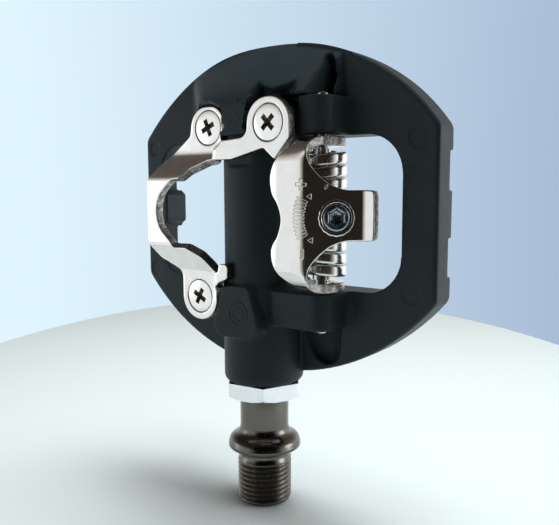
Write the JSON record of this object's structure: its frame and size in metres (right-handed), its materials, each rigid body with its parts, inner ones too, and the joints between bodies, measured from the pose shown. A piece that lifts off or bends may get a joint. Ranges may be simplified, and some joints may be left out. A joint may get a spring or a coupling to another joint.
{
  "type": "clipless pedal",
  "caption": "Platform clipless pedal: round moulded body on a bearing spindle, fixed front cleat claw and sprung, adjustable rear claw on one side.",
  "frame": {"origin": "centre of the spindle's flange face that seats on the crank", "axes": "+Z outboard along the spindle, away from the crank; -Y out of the cleat side; +X towards the heel (rear claw)"},
  "size_m": [0.094, 0.0241, 0.1187],
  "materials": {
    "black_nylon": "fine moulded satin",
    "nickel_steel": "bright nickel plate",
    "screw_steel": "bright zinc",
    "collar_alloy": "bright turned",
    "spindle_steel": "dark polished",
    "bearing_steel": "ground",
    "seal_rubber": "matt",
    "bush_polymer": "plain",
    "insert_brass": "knurled",
    "spring_steel": "bright drawn",
    "black_steel": "blued"
  },
  "bodies": {
    "spindle": {"spindle": "spindle_steel", "outboard_inner_race": "bearing_steel", "lock_washer": "bearing_steel", "lock_nut": "bearing_steel"},
    "pedal_body": {"platform_body": "black_nylon", "axle_collar": "collar_alloy", "dust_seal": "seal_rubber", "bearing_sleeve": "bearing_steel", "inboard_bush": "bush_polymer", "outboard_outer_race": "bearing_steel", "outboard_balls": "bearing_steel", "outboard_cage": "insert_brass", "front_claw": "nickel_steel", "front_claw_screws": "screw_steel", "threaded_inserts": "insert_brass", "pivot_pin": "bearing_steel", "spring_guide": "bush_polymer", "upper_spring": "spring_steel", "lower_spring": "spring_steel"},
    "rear_claw": {"rear_claw": "nickel_steel", "tension_plate": "bearing_steel"},
    "tension_screw": {"tension_screw": "black_steel"}
  },
  "joints": [
    {"name": "pedal_spin", "type": "hinge", "parent": "spindle", "child": "pedal_body", "pos_m": [0, 0, 0.0625], "axis": [0, 0, 1], "continuous": true},
    {"name": "rear_claw_pivot", "type": "hinge", "parent": "pedal_body", "child": "rear_claw", "pos_m": [0.0202, -0.003, 0.0625], "axis": [0, 0, 1], "range_deg": [0, 20], "stiffness_Nm_per_rad": 2, "springref_deg": -20.05, "deforming": ["upper_spring", "lower_spring"]},
    {"name": "tension_screw_turn", "type": "hinge", "parent": "rear_claw", "child": "tension_screw", "pos_m": [0.02746, -0.00794, 0.06205], "axis": [0.7071, -0.7071, 0], "range_deg": [-180, 300]}
  ]
}
